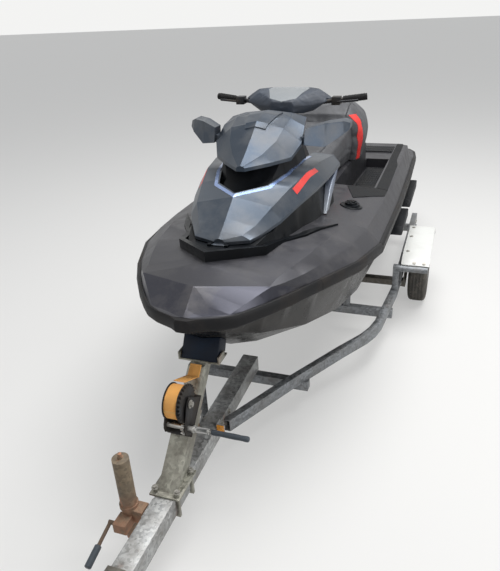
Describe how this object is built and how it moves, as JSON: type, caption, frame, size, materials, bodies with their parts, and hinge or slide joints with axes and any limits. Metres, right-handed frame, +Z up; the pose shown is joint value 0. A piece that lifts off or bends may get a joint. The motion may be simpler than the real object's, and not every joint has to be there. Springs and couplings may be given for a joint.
{
  "type": "personal watercraft on a trailer",
  "caption": "Sit-on personal watercraft with stepped seat and jet drive, strapped to a galvanised single-axle trailer with winch post and jack",
  "frame": {"origin": "on the ground under the middle of the overall length, on the centre plane", "axes": "+Z up, the bow and the coupler towards -Y, the craft's port side at +X"},
  "size_m": [1.624, 4.6, 1.4592],
  "materials": {
    "body_paint": "metallic gloss",
    "nose_paint": "metallic gloss",
    "visor_paint": "metallic satin",
    "hull_gel": "gloss",
    "black_trim": "grained",
    "rubber_trim": "matt",
    "seat_cover": "grained",
    "seat_red": "grained",
    "mirror": "polished",
    "metal_dark": "satin",
    "aluminium": "cast",
    "steel": "satin",
    "engine_iron": "rough",
    "galvanised": "spangled zinc",
    "tyre": "matt",
    "rim_zinc": "satin",
    "fender_white": "gloss",
    "carpet": "felt",
    "strap_orange": "woven",
    "block_blue": "satin",
    "jack_rust": "worn",
    "grip_grey": "satin",
    "accent_blue": "metallic gloss",
    "accent_silver": "metallic satin",
    "lamp_red": "gloss"
  },
  "bodies": {
    "craft_and_trailer": {"hull": "hull_gel", "deck_bow": "body_paint", "gunwales": "body_paint", "seat_base": "body_paint", "stern_deck": "body_paint", "bumper": "rubber_trim", "nose_panel": "nose_paint", "cowl": "black_trim", "accent_strips": "accent_blue", "bin_tub": "black_trim", "console": "black_trim", "seat_driver": "seat_cover", "seat_passenger": "seat_cover", "seat_stripe": "seat_red", "grab_handle": "metal_dark", "fuel_cap": "black_trim", "engine": "engine_iron", "sponsons": "black_trim", "jet_pump": "aluminium", "intake_grate": "aluminium", "drawbar": "galvanised", "rail_port": "galvanised", "rail_starboard": "galvanised", "cross_members": "galvanised", "axle": "galvanised", "fenders": "fender_white", "fender_stays": "galvanised", "bunks": "carpet", "winch_post": "galvanised", "bow_block": "block_blue", "coupler": "galvanised", "winch_frame": "metal_dark", "strap": "strap_orange", "light_board": "fender_white", "tail_lamps": "lamp_red"},
    "front_lid": {"hood": "body_paint", "visor": "visor_paint", "pod": "black_trim", "mirrors": "visor_paint", "mirror_glass": "mirror"},
    "glovebox_lid": {"glovebox_lid": "black_trim"},
    "steering": {"handlebar": "metal_dark", "bar_pad": "black_trim", "pad_cover": "accent_silver", "grips": "rubber_trim"},
    "nozzle": {"nozzle": "aluminium"},
    "reverse_bucket": {"reverse_bucket": "black_trim"},
    "impeller": {"impeller": "steel"},
    "wheel_port": {"tyre_port": "tyre", "rim_port": "rim_zinc"},
    "wheel_starboard": {"tyre_starboard": "tyre", "rim_starboard": "rim_zinc"},
    "winch_drum": {"winch_drum": "metal_dark", "strap_roll": "strap_orange"},
    "winch_crank": {"winch_crank": "steel", "crank_grip": "grip_grey"},
    "jack": {"jack": "jack_rust"},
    "jack_leg": {"jack_leg": "jack_rust"},
    "jack_crank": {"jack_crank": "jack_rust", "jack_grip": "grip_grey"}
  },
  "joints": [
    {"name": "lid_hinge", "type": "hinge", "parent": "craft_and_trailer", "child": "front_lid", "pos_m": [0, -0.838, 1], "axis": [1, 0, 0], "range_deg": [0, 60]},
    {"name": "glovebox_hinge", "type": "hinge", "parent": "craft_and_trailer", "child": "glovebox_lid", "pos_m": [0, 0.3197, 1.11079], "axis": [-1, 0, 0], "range_deg": [0, 75]},
    {"name": "steering_pivot", "type": "hinge", "parent": "craft_and_trailer", "child": "steering", "pos_m": [0, 0.155, 1.24], "axis": [0, 0.4695, 0.8829], "range_deg": [-25, 25]},
    {"name": "nozzle_pivot", "type": "hinge", "parent": "craft_and_trailer", "child": "nozzle", "pos_m": [0, 1.975, 0.36], "axis": [0, 0, 1], "range_deg": [-20, 20]},
    {"name": "bucket_pivot", "type": "hinge", "parent": "craft_and_trailer", "child": "reverse_bucket", "pos_m": [0, 1.965, 0.455], "axis": [-1, 0, 0], "range_deg": [0, 38]},
    {"name": "impeller_shaft", "type": "hinge", "parent": "craft_and_trailer", "child": "impeller", "pos_m": [0, 1.77, 0.36], "axis": [0, 1, 0], "continuous": true},
    {"name": "wheel_port_hub", "type": "hinge", "parent": "craft_and_trailer", "child": "wheel_port", "pos_m": [0.74, 0.81, 0.2075], "axis": [1, 0, 0], "continuous": true},
    {"name": "wheel_starboard_hub", "type": "hinge", "parent": "craft_and_trailer", "child": "wheel_starboard", "pos_m": [-0.74, 0.81, 0.2075], "axis": [1, 0, 0], "continuous": true},
    {"name": "winch_crank_shaft", "type": "hinge", "parent": "craft_and_trailer", "child": "winch_crank", "pos_m": [0, -1.37143, 0.47994], "axis": [1, 0, 0], "continuous": true},
    {"name": "winch_drum_shaft", "type": "hinge", "parent": "craft_and_trailer", "child": "winch_drum", "pos_m": [0, -1.33997, 0.56958], "axis": [1, 0, 0], "continuous": true},
    {"name": "jack_swivel", "type": "hinge", "parent": "craft_and_trailer", "child": "jack", "pos_m": [-0.06, -1.581, 0.222], "axis": [1, 0, 0], "range_deg": [-90, 0]},
    {"name": "jack_screw", "type": "slide", "parent": "jack", "child": "jack_leg", "axis": [0, 0, 1], "range_m": [0, 0.08]},
    {"name": "jack_crank_shaft", "type": "hinge", "parent": "jack", "child": "jack_crank", "pos_m": [-0.12, -1.64, 0.203], "axis": [1, 0, 0], "continuous": true}
  ],
  "couplings": [
    {"joint": "winch_drum_shaft", "follows": "winch_crank_shaft", "ratio": -0.35714},
    {"joint": "nozzle_pivot", "follows": "steering_pivot", "ratio": 0.8}
  ]
}
